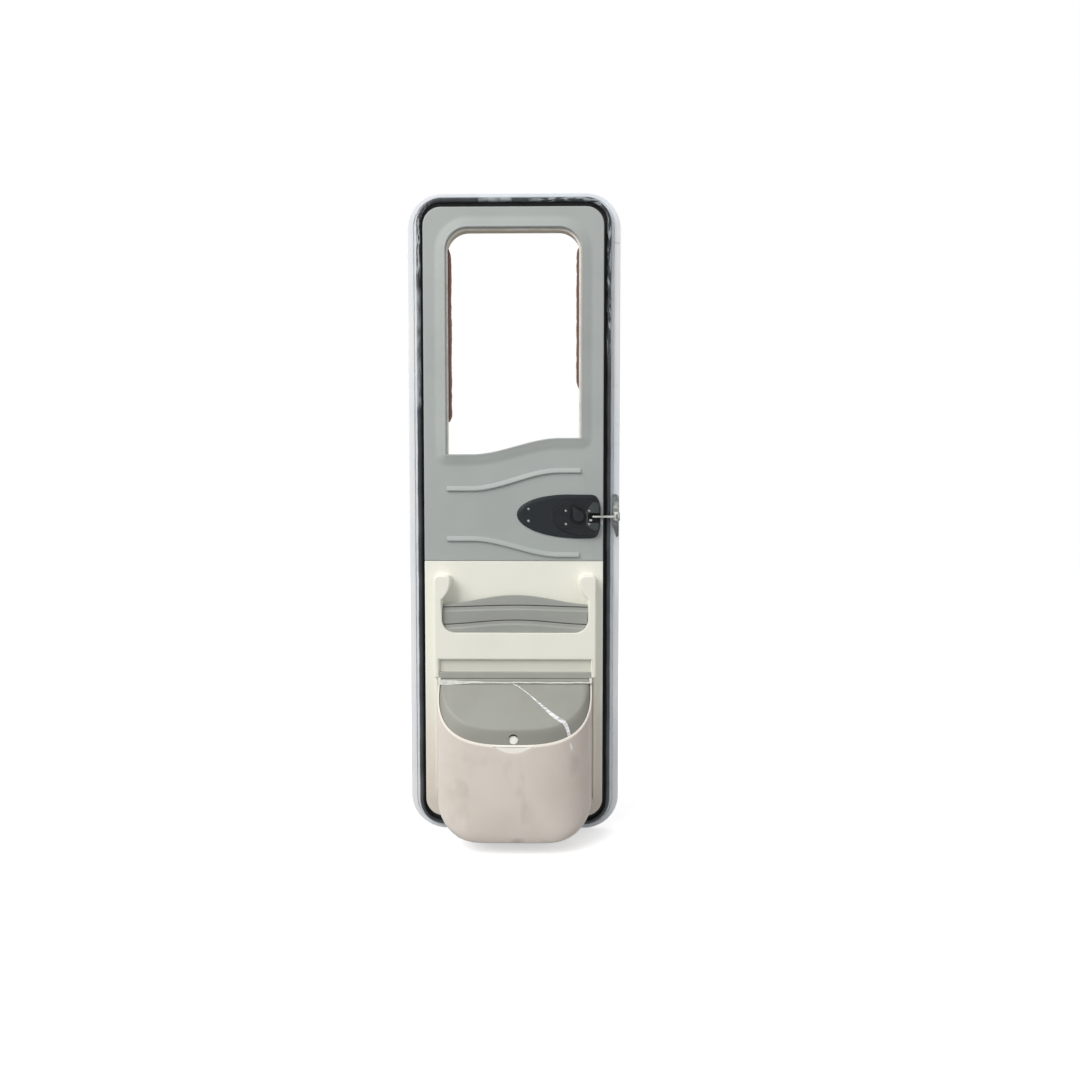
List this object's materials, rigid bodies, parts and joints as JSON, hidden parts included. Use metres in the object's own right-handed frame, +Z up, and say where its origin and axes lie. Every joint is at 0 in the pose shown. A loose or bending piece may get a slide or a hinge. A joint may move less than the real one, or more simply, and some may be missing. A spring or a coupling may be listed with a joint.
{
  "type": "caravan entry door",
  "caption": "Caravan entry door leaf seen from inside: window opening, moulded liners, pocket, waste bin with hinged lid, edge seal and latch.",
  "frame": {"origin": "mid height of the flat face of the hinge edge, in the flange that the hinge leaves screw to", "axes": "+Z up, +X from the hinge edge to the lock edge, -Y into the caravan, +Y out of it"},
  "size_m": [0.584, 0.214, 1.764],
  "materials": {
    "white_skin": "smooth white lacquer",
    "white_aluminium": "white lacquered extrusion, satin",
    "core_foam": "cut rigid foam",
    "black_rubber": "satin, worn grey in places",
    "timber": "rough sawn, unpainted",
    "beige_plastic": "matt strip",
    "grey_liner": "fine moulded grain",
    "cream_plastic": "fine moulded grain",
    "black_plastic": "fine spark grain",
    "bright_steel": "zinc plated",
    "grey_casting": "worn grey paint",
    "grey_plastic": "fine moulded grain",
    "bin_plastic": "smudged, satin"
  },
  "bodies": {
    "leaf": {"outer_skin": "white_skin", "edge_frame": "white_aluminium", "door_core": "core_foam", "perimeter_seal": "black_rubber", "window_batten_left": "timber", "window_batten_right": "timber", "window_strip": "beige_plastic", "upper_liner": "grey_liner", "lower_liner": "cream_plastic", "lock_escutcheon": "black_plastic", "lock_face_plate": "black_plastic", "escutcheon_screws": "bright_steel", "face_plate_screws": "bright_steel", "latch_guide": "grey_casting", "storage_console": "cream_plastic", "pocket_insert": "grey_plastic", "left_rail": "cream_plastic", "right_rail": "cream_plastic", "hinge_strip": "grey_plastic", "left_hinge_tab": "cream_plastic", "right_hinge_tab": "cream_plastic", "hinge_rod": "bright_steel", "bin_body": "bin_plastic", "outer_handle_plate": "black_plastic", "outer_handle": "black_plastic", "key_cylinder": "bright_steel"},
    "bin_lid": {"bin_lid": "grey_plastic", "lid_knuckle": "grey_plastic"},
    "thumb_turn": {"thumb_turn": "black_plastic"},
    "latch_pin": {"latch_pin": "bright_steel"}
  },
  "joints": [
    {"name": "lid_hinge", "type": "hinge", "parent": "leaf", "child": "bin_lid", "pos_m": [0.297, -0.0755, -0.4445], "axis": [-1, 0, 0], "range_deg": [0, 110]},
    {"name": "thumb_turn_spin", "type": "hinge", "parent": "leaf", "child": "thumb_turn", "pos_m": [0.468, -0.052, 0.001], "axis": [0, 1, 0], "range_deg": [0, 60]},
    {"name": "latch_slide", "type": "slide", "parent": "leaf", "child": "latch_pin", "axis": [1, 0, 0], "range_m": [0, 0.01]}
  ],
  "couplings": [
    {"joint": "latch_slide", "follows": "thumb_turn_spin", "m_per_rad": 0.0095}
  ]
}
